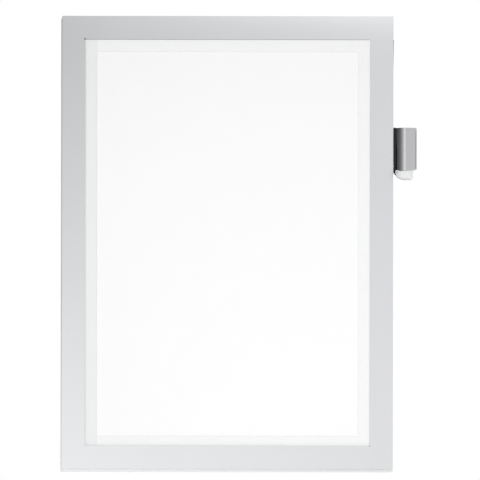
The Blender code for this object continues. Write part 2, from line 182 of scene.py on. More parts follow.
class StageSettings(PropertyGroup):
    """Camera, floor and room light."""

    field_width: length_value("Field width", "Width seen at the face's front", 341.0 * MM)
    aim: FloatVectorProperty(
        name="Aim", description="Point at the middle of the picture", subtype="TRANSLATION", unit="LENGTH",
        size=3, default=(8.956 * MM, -3.5 * MM, -150.585 * MM),
    )
    distance: length_value("Camera distance", "Camera's distance from the face", 3.0)
    lean: FloatProperty(
        name="Lean", description="Turn of the picture about the line of sight", subtype="ANGLE",
        default=math.radians(0.095),
    )
    floor_level: length_value("Floor level", "Height of the floor", -0.75)
    floor_radius: length_value("Floor radius", "Radius of the floor disc", 1.1)
    room_level: plain_value("Room light", "Level of the light from all sides", 0.08, high=2.0)


# Node helpers


def set_socket(tree, socket, value):
    """Link a value into a socket, or set the socket to it."""
    if isinstance(value, bpy.types.NodeSocket):
        tree.links.new(value, socket)
    else:
        socket.default_value = value


def put_node(tree, kind, inputs=None, **settings):
    """Add a node, set its options, and fill its inputs with values or links."""
    made = tree.nodes.new(kind)
    for name, value in settings.items():
        setattr(made, name, value)
    for name, value in (inputs or {}).items():
        set_socket(tree, made.inputs[name], value)
    return made


def maths(tree, operation, first, second=0.0, clamp=False):
    """Value of one arithmetic step."""
    return put_node(
        tree, "ShaderNodeMath", {0: first, 1: second}, operation=operation, use_clamp=clamp
    ).outputs["Value"]


def remap(tree, value, low, high, from_low=0.0, from_high=1.0, smooth=False):
    """Value moved from one range to another."""
    inputs = {"Value": value, "From Min": from_low, "From Max": from_high, "To Min": low, "To Max": high}
    kind = "SMOOTHSTEP" if smooth else "LINEAR"
    return put_node(tree, "ShaderNodeMapRange", inputs, interpolation_type=kind).outputs["Result"]


def mix_colours(tree, factor, first, second):
    """Colour between two colours."""
    return put_node(tree, "ShaderNodeMix", {0: factor, 6: first, 7: second}, data_type="RGBA").outputs[2]


def tint(tree, base, mask, share, colour):
    """Base colour, moved towards another colour by a share of a mask."""
    return mix_colours(tree, maths(tree, "MULTIPLY", mask, share), base, colour)


def noise(tree, vector, scale, **settings):
    """Height of a noise texture."""
    inputs = {"Vector": vector, "Scale": scale, **{name.title(): value for name, value in settings.items()}}
    return put_node(tree, "ShaderNodeTexNoise", inputs).outputs["Fac"]


def cells(tree, vector, scale):
    """Distance from the middle of the nearest cell."""
    return put_node(
        tree, "ShaderNodeTexVoronoi", {"Vector": vector, "Scale": scale}, feature="F1"
    ).outputs["Distance"]


def object_pattern(tree, scale=(1.0, 1.0, 1.0), middle=(0.0, 0.0, 0.0)):
    """Object coordinates about a middle point, stretched."""
    coords = put_node(tree, "ShaderNodeTexCoord").outputs["Object"]
    about = put_node(tree, "ShaderNodeVectorMath", {0: coords, 1: middle}, operation="SUBTRACT").outputs["Vector"]
    return put_node(tree, "ShaderNodeMapping", {"Vector": about, "Scale": scale}).outputs["Vector"]


def split_vector(tree, vector):
    """The three parts of a vector."""
    return put_node(tree, "ShaderNodeSeparateXYZ", {"Vector": vector}).outputs


def shade(colour, factor):
    """Colour times a number, with full alpha."""
    return (colour[0] * factor, colour[1] * factor, colour[2] * factor, 1.0)


def shared_group(name, values, outputs, fill):
    """Shader node group with coordinates and plain values as inputs, filled on first use."""
    if name in bpy.data.node_groups:
        return bpy.data.node_groups[name]
    group = bpy.data.node_groups.new(name, "ShaderNodeTree")
    group.interface.new_socket(name="Vector", in_out="INPUT", socket_type="NodeSocketVector")
    for label, default in values.items():
        socket = group.interface.new_socket(name=label, in_out="INPUT", socket_type="NodeSocketFloat")
        socket.default_value = default
    for label in outputs:
        group.interface.new_socket(name=label, in_out="OUTPUT", socket_type="NodeSocketFloat")
    given = group.nodes.new("NodeGroupInput").outputs
    put_node(group, "NodeGroupOutput", dict(zip(outputs, fill(group, given))))
    return group


def fill_grain(group, given):
    """Two sizes of noise."""
    fine = noise(group, given["Vector"], given["Scale"], detail=2.0)
    coarse_scale = maths(group, "MULTIPLY", given["Scale"], 0.21)
    coarse = noise(group, given["Vector"], coarse_scale, detail=3.0, roughness=0.6)
    both = put_node(
        group, "ShaderNodeMix", {0: given["Coarse Share"], 2: fine, 3: coarse}, data_type="FLOAT"
    ).outputs[0]
    return remap(group, both, 0.0, 1.0, 0.3, 0.7), both


def fill_cloud(group, given):
    """Broad noise, and dots at the middles of cells."""
    broad = noise(group, given["Vector"], given["Scale"], detail=4.0, roughness=0.55, distortion=0.6)
    away = cells(group, given["Vector"], given["Speck Scale"])
    return remap(group, broad, 0.0, 1.0, 0.25, 0.75), remap(group, away, 1.0, 0.0, 0.02, 0.07)


def fill_streaks(group, given):
    """Noise that its coordinates draw out."""
    lines = noise(group, given["Vector"], given["Scale"], detail=5.0, roughness=0.7)
    return remap(group, lines, 0.0, 1.0, 0.3, 0.7), lines


def place_group(tree, group, vector, *values):
    """Place a shared group with its coordinates and its first plain values, and give its two outputs."""
    made = put_node(tree, "ShaderNodeGroup", node_tree=group)
    for socket, value in zip(made.inputs, (vector, *values)):
        set_socket(tree, socket, value)
    return made.outputs[0], made.outputs[1]


def use_grain(tree, vector, *values):
    """Tone and height of fine speckle. Values: scale and share of coarse grain."""
    defaults = {"Scale": 2500.0, "Coarse Share": 0.35}
    group = shared_group("Fine grain", defaults, ("Tone", "Height"), fill_grain)
    return place_group(tree, group, vector, *values)


def use_cloud(tree, vector, *values):
    """Broad, faint unevenness and small specks of dust. Values: scale and scale of the specks."""
    defaults = {"Scale": 14.0, "Speck Scale": 160.0}
    group = shared_group("Handling", defaults, ("Cloud", "Specks"), fill_cloud)
    return place_group(tree, group, vector, *values)


def use_streaks(tree, vector):
    """Tone and height of long lines, drawn out the way in which the coordinates are squeezed."""
    group = shared_group("Drawn lines", {"Scale": 1.0}, ("Tone", "Height"), fill_streaks)
    return place_group(tree, group, vector)


def start_material(name, constants):
    """Material with one Principled shader whose plain values are set on its own sockets."""
    material = bpy.data.materials.new(name)
    material.use_nodes = True
    tree = material.node_tree
    tree.nodes.clear()
    shader = put_node(tree, "ShaderNodeBsdfPrincipled", constants)
    put_node(tree, "ShaderNodeOutputMaterial", {"Surface": shader.outputs["BSDF"]})
    return material, tree, shader


def finish_surface(tree, shader, colour, roughness, height, depth, strength):
    """Link colour, roughness, where there is one, and bump height into a shader."""
    tree.links.new(colour, shader.inputs["Base Color"])
    if roughness is not None:
        tree.links.new(roughness, shader.inputs["Roughness"])
    bump = {"Height": height, "Distance": depth, "Strength": strength}
    tree.links.new(put_node(tree, "ShaderNodeBump", bump).outputs["Normal"], shader.inputs["Normal"])


# Materials


def satin_silver(name, colour, roughness, metallic, grain_scale=2600.0):
    """Satin silver foil: metallic speckle, faint unevenness, fine relief."""
    material, tree, shader = start_material(name, {"Metallic": metallic, "IOR": 1.5})
    vector = object_pattern(tree)
    tone, height = use_grain(tree, vector, grain_scale)
    cloud, specks = use_cloud(tree, vector, 13.0)
    body = mix_colours(tree, cloud, shade(colour, 0.985), shade(colour, 1.012))
    speckled = tint(tree, body, tone, 0.22, shade(colour, 1.10))
    dusted = tint(tree, speckled, specks, 0.05, (0.9, 0.9, 0.88, 1.0))
    base_rough = remap(tree, tone, roughness - 0.03, roughness + 0.04)
    rough = maths(tree, "ADD", base_rough, maths(tree, "MULTIPLY", cloud, 0.02))
    finish_surface(tree, shader, dusted, rough, height, 0.004 * MM, 0.5)
    return material


def magnet_rubber(name, colour, along):
    """Calendered magnetic rubber: lines along the strip, ferrite speckle, dull sheen."""
    material, tree, shader = start_material(name, {"Metallic": 0.0, "IOR": 1.52, "Specular IOR Level": 0.45})
    fine, slow = 1500.0, 14.0
    scale = {"x": (slow, fine, fine), "z": (fine, fine, slow)}[along]
    lines, line_height = use_streaks(tree, object_pattern(tree, scale))
    vector = object_pattern(tree)
    tone, height = use_grain(tree, vector, 3200.0, 0.5)
    cloud, specks = use_cloud(tree, vector, 22.0, 240.0)
    body = mix_colours(tree, cloud, shade(colour, 0.85), shade(colour, 1.25))
    lined = tint(tree, body, lines, 0.4, shade(colour, 1.7))
    speckled = tint(tree, lined, tone, 0.3, shade(colour, 2.2))
    dusted = tint(tree, speckled, specks, 0.2, (0.32, 0.31, 0.29, 1.0))
    rough = maths(tree, "ADD", remap(tree, lines, 0.5, 0.64), maths(tree, "MULTIPLY", tone, 0.06))
    relief = maths(tree, "ADD", maths(tree, "MULTIPLY", line_height, 0.7), maths(tree, "MULTIPLY", height, 0.5))
    finish_surface(tree, shader, dusted, rough, relief, 0.02 * MM, 0.6)
    return material


def plain_paper(name, colour):
    """Uncoated office paper: soft mottle of fibres and a dull surface."""
    material, tree, shader = start_material(
        name, {"Metallic": 0.0, "IOR": 1.4, "Specular IOR Level": 0.25, "Sheen Weight": 0.04}
    )
    vector = object_pattern(tree)
    fibres = noise(tree, vector, 700.0, detail=6.0, roughness=0.7, distortion=1.4)
    cloud, _ = use_cloud(tree, vector, 30.0)
    body = mix_colours(tree, cloud, shade(colour, 0.996), shade(colour, 1.004))
    fibred = tint(tree, body, fibres, 0.12, shade(colour, 0.93))
    finish_surface(tree, shader, fibred, remap(tree, fibres, 0.78, 0.95), fibres, 0.012 * MM, 0.35)
    return material


def cut_edge(tree, low, high, width):
    """One along the outline of an upright rectangle, zero farther than a width outside it."""
    middle = ((low[0] + high[0]) / 2, 0.0, (low[1] + high[1]) / 2)
    place = split_vector(tree, object_pattern(tree, middle=middle))
    beside = maths(tree, "SUBTRACT", maths(tree, "ABSOLUTE", place["X"]), (high[0] - low[0]) / 2)
    above = maths(tree, "SUBTRACT", maths(tree, "ABSOLUTE", place["Z"]), (high[1] - low[1]) / 2)
    return remap(tree, maths(tree, "MAXIMUM", beside, above), 1.0, 0.0, 0.0, width, smooth=True)


def clear_film(name, colour, cover, rim_cover, side_shade_cover):
    """Clear, faintly matt film: more solid at grazing angles and along its cut edge, and more solid again on the
    hinge side as painted shade.
    """
    material, tree, shader = start_material(name, {"Metallic": 0.0, "IOR": 1.49, "Specular IOR Level": 0.6})
    vector = object_pattern(tree)
    tone, height = use_grain(tree, vector, 1800.0, 0.6)
    cloud, specks = use_cloud(tree, vector, 18.0, 120.0)
    body = mix_colours(tree, cloud, shade(colour, 0.96), shade(colour, 1.04))
    finish_surface(tree, shader, body, remap(tree, tone, 0.16, 0.26), height, 0.004 * MM, 0.3)
    grazing = put_node(tree, "ShaderNodeFresnel", {"IOR": 1.49}).outputs["Fac"]
    rim = cut_edge(tree, CUTOUT_LOW, CUTOUT_HIGH, 0.5 * MM)
    cut_left = CUTOUT_LOW[0]
    # Painted shade: the film's band left of the cut-out, on the hinge side, is made more solid, which darkens it the
    # way the left border's shadow would
    painted_shade = remap(tree, split_vector(tree, vector)["X"], side_shade_cover, 0.0, cut_left, cut_left + 0.6 * MM)
    solid = cover - 0.002
    for mask, share in ((grazing, 0.3), (cloud, 0.004), (specks, 0.01), (rim, rim_cover)):
        solid = maths(tree, "ADD", maths(tree, "MULTIPLY", mask, share), solid)
    tree.links.new(maths(tree, "ADD", solid, painted_shade, clamp=True), shader.inputs["Alpha"])
    return material


def moulded_black(name, colour):
    """Moulded black plastic with a fine spark-eroded skin."""
    material, tree, shader = start_material(name, {"Metallic": 0.0, "IOR": 1.5, "Specular IOR Level": 0.22})
    vector = object_pattern(tree)
    tone, height = use_grain(tree, vector, 2100.0, 0.4)
    cloud, specks = use_cloud(tree, vector, 60.0, 420.0)
    body = mix_colours(tree, cloud, shade(colour, 0.9), shade(colour, 1.2))
    speckled = tint(tree, body, tone, 0.25, shade(colour, 2.0))
    dusted = tint(tree, speckled, specks, 0.15, (0.25, 0.25, 0.25, 1.0))
    finish_surface(tree, shader, dusted, remap(tree, tone, 0.38, 0.52), height, 0.02 * MM, 0.6)
    return material


def satin_metal(name, colour, roughness):
    """Brushed satin metal: lines drawn along the sleeve, paler at its rubbed upper rim."""
    material, tree, shader = start_material(name, {"Metallic": 1.0})
    lines, line_height = use_streaks(tree, object_pattern(tree, (2600.0, 2600.0, 28.0)))
    vector = object_pattern(tree)
    cloud, specks = use_cloud(tree, vector, 70.0, 500.0)
    body = mix_colours(tree, lines, shade(colour, 0.94), shade(colour, 1.05))
    clouded = tint(tree, body, cloud, 0.3, shade(colour, 0.97))
    from_top = maths(tree, "ABSOLUTE", maths(tree, "SUBTRACT", split_vector(tree, vector)["Z"], TUBE_HIGH.z))
    rubbed = remap(tree, from_top, 1.0, 0.0, 0.0, 0.5 * MM, smooth=True)
    worn = tint(tree, clouded, rubbed, 0.35, shade(colour, 1.3))
    dusted = tint(tree, worn, specks, 0.06, (0.8, 0.8, 0.78, 1.0))
    rough = remap(tree, lines, roughness - 0.04, roughness + 0.05)
    finish_surface(tree, shader, dusted, rough, line_height, 0.006 * MM, 0.35)
    return material


def frosted_plastic(name, colour):
    """Frosted translucent plastic: light spreads inside it, its skin is finely matt."""
    material, tree, shader = start_material(
        name,
        {
            "Metallic": 0.0, "IOR": 1.47, "Specular IOR Level": 0.45, "Subsurface Weight": 0.12,
            "Subsurface Radius": (1.0, 1.0, 1.0), "Subsurface Scale": 2.5 * MM,
        },
    )
    vector = object_pattern(tree)
    tone, height = use_grain(tree, vector, 5200.0, 0.15)
    cloud, _ = use_cloud(tree, vector, 90.0)
    body = mix_colours(tree, cloud, shade(colour, 0.99), shade(colour, 1.01))
    speckled = tint(tree, body, tone, 0.1, shade(colour, 1.03))
    finish_surface(tree, shader, speckled, remap(tree, tone, 0.42, 0.52), height, 0.002 * MM, 0.4)
    return material


def adhesive_foam(name):
    """White foam tape with open pores along its cut edge."""
    material, tree, shader = start_material(name, {"Metallic": 0.0, "IOR": 1.45, "Specular IOR Level": 0.3})
    vector = object_pattern(tree)
    pores = cells(tree, vector, 3000.0)
    cloud, _ = use_cloud(tree, vector, 80.0)
    body = mix_colours(tree, cloud, (0.74, 0.74, 0.72, 1.0), (0.8, 0.8, 0.78, 1.0))
    porous = mix_colours(tree, remap(tree, pores, 0.5, 0.0, 0.0, 0.5), body, (0.55, 0.55, 0.53, 1.0))
    finish_surface(tree, shader, porous, remap(tree, pores, 0.75, 0.95), pores, 0.04 * MM, 0.6)
    return material


# Mesh helpers


def make_mesh(name, bm):
    """Mesh from a bmesh, which is used up."""
    mesh = bpy.data.meshes.new(name)
    bm.to_mesh(mesh)
    bm.free()
    return mesh


def put_object(name, data):
    """New object in the scene."""
    item = bpy.data.objects.new(name, data)
    bpy.context.scene.collection.objects.link(item)
    return item


def add_piece(name, bm, material, body, replaced, angle=32.0):
    """Turn a bmesh into a finished piece that rides on a body, where one is given, and stands for CAD nodes."""
    split_faces(bm)
    item = put_object(name, make_mesh(name, bm))
    item.data.materials.append(material)
    smooth_by_angle(item.data, angle)
    if body:
        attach(item, body)
    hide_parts(*replaced)
    return item


def smooth_by_angle(mesh, angle):
    """Shade smooth, with sharp edges above an angle in degrees."""
    mesh.shade_smooth()
    mesh.set_sharp_from_angle(angle=math.radians(angle))


def dress_node(name, material):
    """Give a carried-over CAD node a new material."""
    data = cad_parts[name].data
    data.materials.clear()
    data.materials.append(material)


def join_flats(bm):
    """Merge doubled vertices and join the faces of flat areas."""
    bmesh.ops.remove_doubles(bm, verts=bm.verts, dist=0.001 * MM)
    bmesh.ops.dissolve_limit(
        bm, angle_limit=math.radians(0.5), use_dissolve_boundaries=False, verts=bm.verts, edges=bm.edges
    )


def copy_node(name):
    """Merged copy of a CAD node's mesh with its flat areas joined."""
    bm = bmesh.new()
    bm.from_mesh(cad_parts[name].data)
    join_flats(bm)
    return bm


def bevel_sharp(bm, width, angle, segments=2):
    """Round every edge that is sharper than an angle in degrees."""
    limit = math.radians(angle)
    edges = [edge for edge in bm.edges if len(edge.link_faces) == 2 and edge.calc_face_angle() > limit]
    bmesh.ops.bevel(
        bm, geom=edges, offset=width, offset_type="OFFSET", segments=segments, profile=0.5,
        affect="EDGES", clamp_overlap=True, material=-1,
    )


def verts_of(parts):
    """The corners among a step's results."""
    return [part for part in parts if isinstance(part, bmesh.types.BMVert)]


def cut_at(bm, axis, place):
    """Cut the whole mesh across one axis, so that it gains an edge there."""
    point = Vector((0.0, 0.0, 0.0))
    normal = Vector((0.0, 0.0, 0.0))
    point[axis] = place
    normal[axis] = 1.0
    bmesh.ops.bisect_plane(
        bm, geom=[*bm.verts, *bm.edges, *bm.faces], dist=0.0001 * MM, plane_co=point, plane_no=normal
    )


def face_outwards(bm):
    """Turn a closed mesh's faces outwards."""
    bmesh.ops.recalc_face_normals(bm, faces=bm.faces)
    if bm.calc_volume(signed=True) < 0.0:
        bmesh.ops.reverse_faces(bm, faces=bm.faces)


def split_faces(bm):
    """Dissolve edges without length and split a mesh that has faces of many corners into triangles."""
    bmesh.ops.dissolve_degenerate(bm, dist=0.0005 * MM, edges=bm.edges)
    if any(len(face.verts) > 4 for face in bm.faces):
        bmesh.ops.triangulate(bm, faces=bm.faces, quad_method="BEAUTY", ngon_method="BEAUTY")


# Pieces


def upright_sheet(low, high):
    """One face over the front of a box, and its middle."""
    bm = bmesh.new()
    bmesh.ops.create_grid(bm, x_segments=1, y_segments=1, size=0.5)
    bmesh.ops.scale(bm, vec=(high.x - low.x, high.z - low.z, 1.0), verts=bm.verts)
    bmesh.ops.rotate(bm, cent=(0.0, 0.0, 0.0), matrix=Matrix.Rotation(math.pi / 2, 3, "X"), verts=bm.verts)
    middle = Vector(((low.x + high.x) / 2, low.y, (low.z + high.z) / 2))
    bmesh.ops.translate(bm, vec=middle, verts=bm.verts)
    return bm, middle


def outer_corner(bm, middle, side, end):
    """The corner that lies farthest out, to the left or right (side -1 or 1) and at the foot or top (end -1 or 1)."""
    return max(
        (vert for vert in bm.verts if (vert.co.x - middle.x) * side > 0 and (vert.co.z - middle.z) * end > 0),
        key=lambda vert: abs(vert.co.x - middle.x) + abs(vert.co.z - middle.z),
    )


def round_corners(bm, verts, radius, segments):
    """Round a flat sheet's corners."""
    bmesh.ops.bevel(
        bm, geom=verts, offset=radius * CORNER_CUT, offset_type="OFFSET", segments=segments, profile=0.5,
        affect="VERTICES", material=-1,
    )


def thicken(bm, depth):
    """Give a flat upright sheet its thickness, towards the wall."""
    grown = bmesh.ops.extrude_face_region(bm, geom=list(bm.faces))["geom"]
    bmesh.ops.translate(bm, vec=(0.0, depth, 0.0), verts=verts_of(grown))
    bmesh.ops.recalc_face_normals(bm, faces=bm.faces)


def window_edges(settings):
    """Left, right, lower and upper edge of the face's window."""
    return (
        LEFT + settings.border_left, RIGHT - settings.border_right,
        FACE_BOTTOM + settings.border_bottom, TOP - settings.border_top,
    )


def face_plate(settings):
    """Flat plate with a window and rounded corners."""
    bm, middle = upright_sheet(FACE_LOW, FACE_HIGH)
    window = next(iter(bm.faces))
    bmesh.ops.inset_region(
        bm, faces=[window], thickness=settings.border_bottom, use_boundary=True, use_even_offset=True
    )
    left, right, low, high = window_edges(settings)
    for vert in window.verts:
        vert.co.x = left if vert.co.x < middle.x else right
        vert.co.z = low if vert.co.z < middle.z else high
    bmesh.ops.delete(bm, geom=[window], context="FACES_ONLY")

    round_outer = [outer_corner(bm, middle, -1, 1), outer_corner(bm, middle, 1, -1)]
    tight_outer = [outer_corner(bm, middle, 1, 1), outer_corner(bm, middle, -1, -1)]
    round_corners(bm, round_outer, settings.corner, 8)
    round_corners(bm, tight_outer, settings.sharp_corner, 4)
    thicken(bm, FACE_HIGH.y - FACE_LOW.y)
    return bm


def panel_plate(settings):
    """Back panel with rounded corners, but a tight one at the foot of the hinge."""
    bm, middle = upright_sheet(PANEL_LOW, PANEL_HIGH)
    rounded = [outer_corner(bm, middle, side, end) for side, end in ((-1, 1), (1, 1), (1, -1))]
    tight = [outer_corner(bm, middle, -1, -1)]
    round_corners(bm, rounded, settings.panel_corner, 8)
    round_corners(bm, tight, settings.panel_corner / 6, 4)
    thicken(bm, PANEL_HIGH.y - PANEL_LOW.y)
    bevel_sharp(bm, settings.panel_edge, segments=3, angle=60.0)
    return bm


def roll_edges(bm, settings):
    """Roll the plate's left and lower borders back a little."""
    side_width = settings.roll_width
    foot_width = FOOT_ROLL * side_width
    for share in (0.12, 0.3, 0.55, 0.8, 1.0, 1.2):
        cut_at(bm, 0, LEFT + side_width * share)
        cut_at(bm, 2, FACE_BOTTOM + foot_width * share)
    front_limit = (FACE_LOW.y + FACE_HIGH.y) / 2
    for vert in bm.verts:
        if vert.co.y <= front_limit:
            side = max(0.0, 1.0 - (vert.co.x - LEFT) / side_width)
            foot = max(0.0, 1.0 - (vert.co.z - FACE_BOTTOM) / foot_width)
            vert.co.y += settings.roll_drop * min(1.0, side * side + FOOT_ROLL * foot * foot)


def nick_cutter(settings):
    """Rods from front to back through the window's upper left and lower right corners, for the cutting nicks."""
    bm = bmesh.new()
    left, right, low, high = window_edges(settings)
    turn = Matrix.Rotation(math.pi / 2, 4, "X")
    for x, z, side, end, radius in ((left, high, -1, 1, settings.nick), (right, low, 1, -1, settings.low_nick)):
        past = 0.3 * radius
        place = Matrix.Translation((x + side * past, (FACE_LOW.y + FACE_HIGH.y) / 2, z + end * past))
        bmesh.ops.create_cone(
            bm, cap_ends=True, segments=20, radius1=radius, radius2=radius, depth=2.0 * MM, matrix=place @ turn
        )
    return bm


class SIGNFRAME_OT_face(Operator):
    """Build the satin silver face of the front leaf"""

    bl_idname = "signframe.face"
    bl_label = "Silver face"

    def execute(self, context):
        settings = context.scene.sign_face
        silver = satin_silver("silver_face_foil", settings.colour, settings.roughness, metallic=0.92)
        angle = 15.0
        face = add_piece(
            "front_face_foil", face_plate(settings), silver, "front_leaf", ["front_face"], angle
        )
        cut_with(face, nick_cutter(settings))
        bm = bmesh.new()
        bm.from_mesh(face.data)
        roll_edges(bm, settings)
        split_faces(bm)
        bm.to_mesh(face.data)
        bm.free()
        smooth_by_angle(face.data, angle)
        return {"FINISHED"}


def cut_with(item, cutter_bm):
    """Subtract a mesh from a piece and keep the plain result."""
    mesh = make_mesh("cutter", cutter_bm)
    cutter = put_object("cutter", mesh)
    modifier = item.modifiers.new("Cut", "BOOLEAN")
    modifier.object = cutter
    modifier.operation = "DIFFERENCE"
    modifier.solver = "EXACT"
    apply_modifiers(item)
    bpy.data.objects.remove(cutter)
    bpy.data.meshes.remove(mesh)


def apply_modifiers(item):
    """Replace a piece's mesh with its finished shape."""
    graph = bpy.context.evaluated_depsgraph_get()
    finished = bpy.data.meshes.new_from_object(item.evaluated_get(graph))
    item.modifiers.clear()
    old = item.data
    item.data = finished
    bpy.data.meshes.remove(old)


class SIGNFRAME_OT_back_panel(Operator):
    """Build the back panel with softened edges"""

    bl_idname = "signframe.back_panel"
    bl_label = "Back panel"

    def execute(self, context):
        settings = context.scene.sign_leaf
        silver = satin_silver(
            "silver_panel", settings.panel_colour, roughness=0.46, metallic=0.55, grain_scale=2200.0
        )
        add_piece("back_panel_board", panel_plate(settings), silver, "back_leaf", ["back_panel"])
        return {"FINISHED"}


def lower_top_strip(bm, settings, window_top):
    """Let the top front strip reach just past the window's edge between the side strips."""
    low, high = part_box("front_strip_top")
    step = 0.1 * MM
    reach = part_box("front_strip_right")[0].x - step
    for place in (-reach, step - reach, reach - step, reach):
        cut_at(bm, 0, place)
    for vert in bm.verts:
        if vert.co.z < (low.z + high.z) / 2 and abs(vert.co.x) < reach - step / 2:
            vert.co.z = window_top - settings.peek_top


def bow_right_strip(bm, settings):
    """Bow the right front strip's upper end out."""
    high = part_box("front_strip_right")[1].z
    cuts = 16
    for step in range(1, cuts + 1):
        cut_at(bm, 2, high - settings.bow_length * step / cuts)
    for vert in bm.verts:
        share = max(0.0, 1.0 - (high - vert.co.z) / settings.bow_length)
        vert.co.x += settings.bow * share * share


class SIGNFRAME_OT_magnets(Operator):
    """Finish the twelve magnetic rubber strips"""

    bl_idname = "signframe.magnets"
    bl_label = "Magnet strips"

    def execute(self, context):
        settings = context.scene.sign_leaf
        window_top = window_edges(context.scene.sign_face)[3]
        level = magnet_rubber("magnet_rubber_level", settings.rubber_colour, "x")
        upright = magnet_rubber("magnet_rubber_upright", settings.rubber_colour, "z")
        for row, body in (("rear", "back_leaf"), ("counter", "back_leaf"), ("front", "front_leaf")):
            for side, rubber in (("top", level), ("bottom", level), ("left", upright), ("right", upright)):
                node = f"{row}_strip_{side}"
                bm = copy_node(node)
                if node == "front_strip_top":
                    lower_top_strip(bm, settings, window_top)
                elif node == "front_strip_right":
                    bow_right_strip(bm, settings)
                bevel_sharp(bm, settings.rubber_edge, angle=40.0)
                add_piece(f"{row}_magnet_{side}", bm, rubber, body, [node])
        return {"FINISHED"}


class SIGNFRAME_OT_sheet(Operator):
    """Finish the blank sheet in the window"""

    bl_idname = "signframe.sheet"
    bl_label = "Blank sheet"

    def execute(self, context):
        dress_node("insert_sheet", plain_paper("office_paper", context.scene.sign_leaf.paper_colour))
        return {"FINISHED"}


class SIGNFRAME_OT_film(Operator):
    """Finish the clear retaining film"""

    bl_idname = "signframe.film"
    bl_label = "Clear film"

    def execute(self, context):
        settings = context.scene.sign_leaf
        # The film's hinge side gets painted shade, its strength set on the leaf settings
        film = clear_film(
            "clear_film", settings.film_colour, settings.film_cover, settings.rim_cover, settings.side_shade_cover
        )
        dress_node("retaining_film", film)
        return {"FINISHED"}


def hinge_mesh(steps):
    """Middle surface of the hinge film: flap, fold and flap, the fold run down to the back panel's foot."""
    thickness = 0.2 * MM
    end_inset = 0.2 * MM
    slack = 0.001 * MM
    flap_back, flap_front = -HINGE_HIGH.y, -HINGE_LOW.y
    out = (flap_back + flap_front) / 2
    radius = (flap_front - flap_back) / 2 - thickness / 2
    centre = HINGE_LOW.x + radius + thickness / 2

    bottom = FACE_BOTTOM + end_inset
    bm = bmesh.new()
    start = bm.verts.new((HINGE_HIGH.x, -out + radius, bottom))
    near = bm.verts.new((centre, -out + radius, bottom))
    bm.edges.new((start, near))
    bmesh.ops.spin(
        bm, geom=[near], cent=(centre, -out, bottom), axis=(0.0, 0.0, 1.0), angle=math.pi, steps=steps,
    )
    last = min(bm.verts, key=lambda vert: (round(vert.co.y, 7), abs(vert.co.x - centre)))
    far = bmesh.ops.extrude_vert_indiv(bm, verts=[last])["verts"]
    bmesh.ops.translate(bm, vec=(HINGE_HIGH.x - centre, 0.0, 0.0), verts=far)
    height = HINGE_HIGH.z - bottom
    levels = 6
    edges = list(bm.edges)
    for _ in range(levels):
        grown = bmesh.ops.extrude_edge_only(bm, edges=edges)["geom"]
        edges = [part for part in grown if isinstance(part, bmesh.types.BMEdge)]
        bmesh.ops.translate(bm, vec=(0.0, 0.0, height / levels), verts=verts_of(grown))
    fold = [
        edge for edge in bm.edges
        if all(vert.co.z < bottom + slack and vert.co.x < centre + slack for vert in edge.verts)
    ]
    grown = bmesh.ops.extrude_edge_only(bm, edges=fold)["geom"]
    bmesh.ops.translate(bm, vec=(0.0, 0.0, PANEL_LOW.z + end_inset - bottom), verts=verts_of(grown))
    bmesh.ops.recalc_face_normals(bm, faces=bm.faces)
    return bm, centre, out, thickness


class SIGNFRAME_OT_hinge(Operator):
    """Build the folded hinge film"""

    bl_idname = "signframe.hinge"
    bl_label = "Hinge film"

    def execute(self, context):
        settings = context.scene.sign_leaf
        silver = satin_silver(
            "silver_hinge_film", settings.hinge_colour, roughness=0.42, metallic=0.4, grain_scale=2400.0
        )
        angle = 40.0
        bm, centre, out, thickness = hinge_mesh(settings.fold_steps)
        film = add_piece("hinge_film_fold", bm, silver, None, ["hinge_film"], angle)
        wall = film.modifiers.new("Wall", "SOLIDIFY")
        wall.thickness = thickness
        wall.offset = 0.0
        wall.use_even_offset = True
        apply_modifiers(film)
        smooth_by_angle(film.data, angle)
        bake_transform(film)
        return {"FINISHED"}


def spin_profile(points, start, turn, steps, centre):
    """Closed profile, given as radius and height, turned about an upright axis."""
    bm = bmesh.new()
    direction = Vector((math.cos(start), math.sin(start), 0.0))
    verts = [bm.verts.new(centre + direction * radius + Vector((0.0, 0.0, level))) for radius, level in points]
    face = bm.faces.new(verts)
    bmesh.ops.spin(
        bm, geom=[*verts, *face.edges, face], cent=centre, axis=(0.0, 0.0, 1.0), angle=turn, steps=steps,
    )
    return bm


def tube_centre():
    """Axis of the sleeve at zero height."""
    radius = (TUBE_HIGH.y - TUBE_LOW.y) / 2
    return Vector((TUBE_HIGH.x - radius, (TUBE_LOW.y + TUBE_HIGH.y) / 2, 0.0))


def sleeve_mesh(settings):
    """Metal sleeve with rolled rims and a slot, its lower rim dipping at the front."""
    centre = tube_centre()
    outer = (TUBE_HIGH.y - TUBE_LOW.y) / 2 - settings.sleeve_trim
    bore = outer - settings.sleeve_wall
    top = TUBE_HIGH.z - settings.top_drop
    rim_rise = 1.2 * MM
    bottom = TUBE_LOW.z + rim_rise
    edge = settings.rim_round
    profile = []
    quarter = 4
    rims = (
        (outer - edge, top - edge, 0.0), (bore + edge, top - edge, math.pi / 2),
        (bore + edge, bottom + edge, math.pi), (outer - edge, bottom + edge, 1.5 * math.pi),
    )
    for radius, level, start in rims:
        for step in range(quarter + 1):
            angle = start + math.pi / 2 * step / quarter
            profile.append((radius + edge * math.cos(angle), level + edge * math.sin(angle)))
    half_slot = math.asin(settings.slot_width / 2 / bore)
    bm = spin_profile(
        profile, math.pi + half_slot, 2 * math.pi - 2 * half_slot, settings.round_steps, centre
    )
    middle = (top + bottom) / 2
    for vert in bm.verts:
        if vert.co.z < middle:
            beside = max(0.0, (centre.x - vert.co.x) / outer)
            vert.co.z += settings.rim_dip * (vert.co.y - centre.y) / outer - settings.side_dip * beside
    bmesh.ops.recalc_face_normals(bm, faces=bm.faces)
    return bm


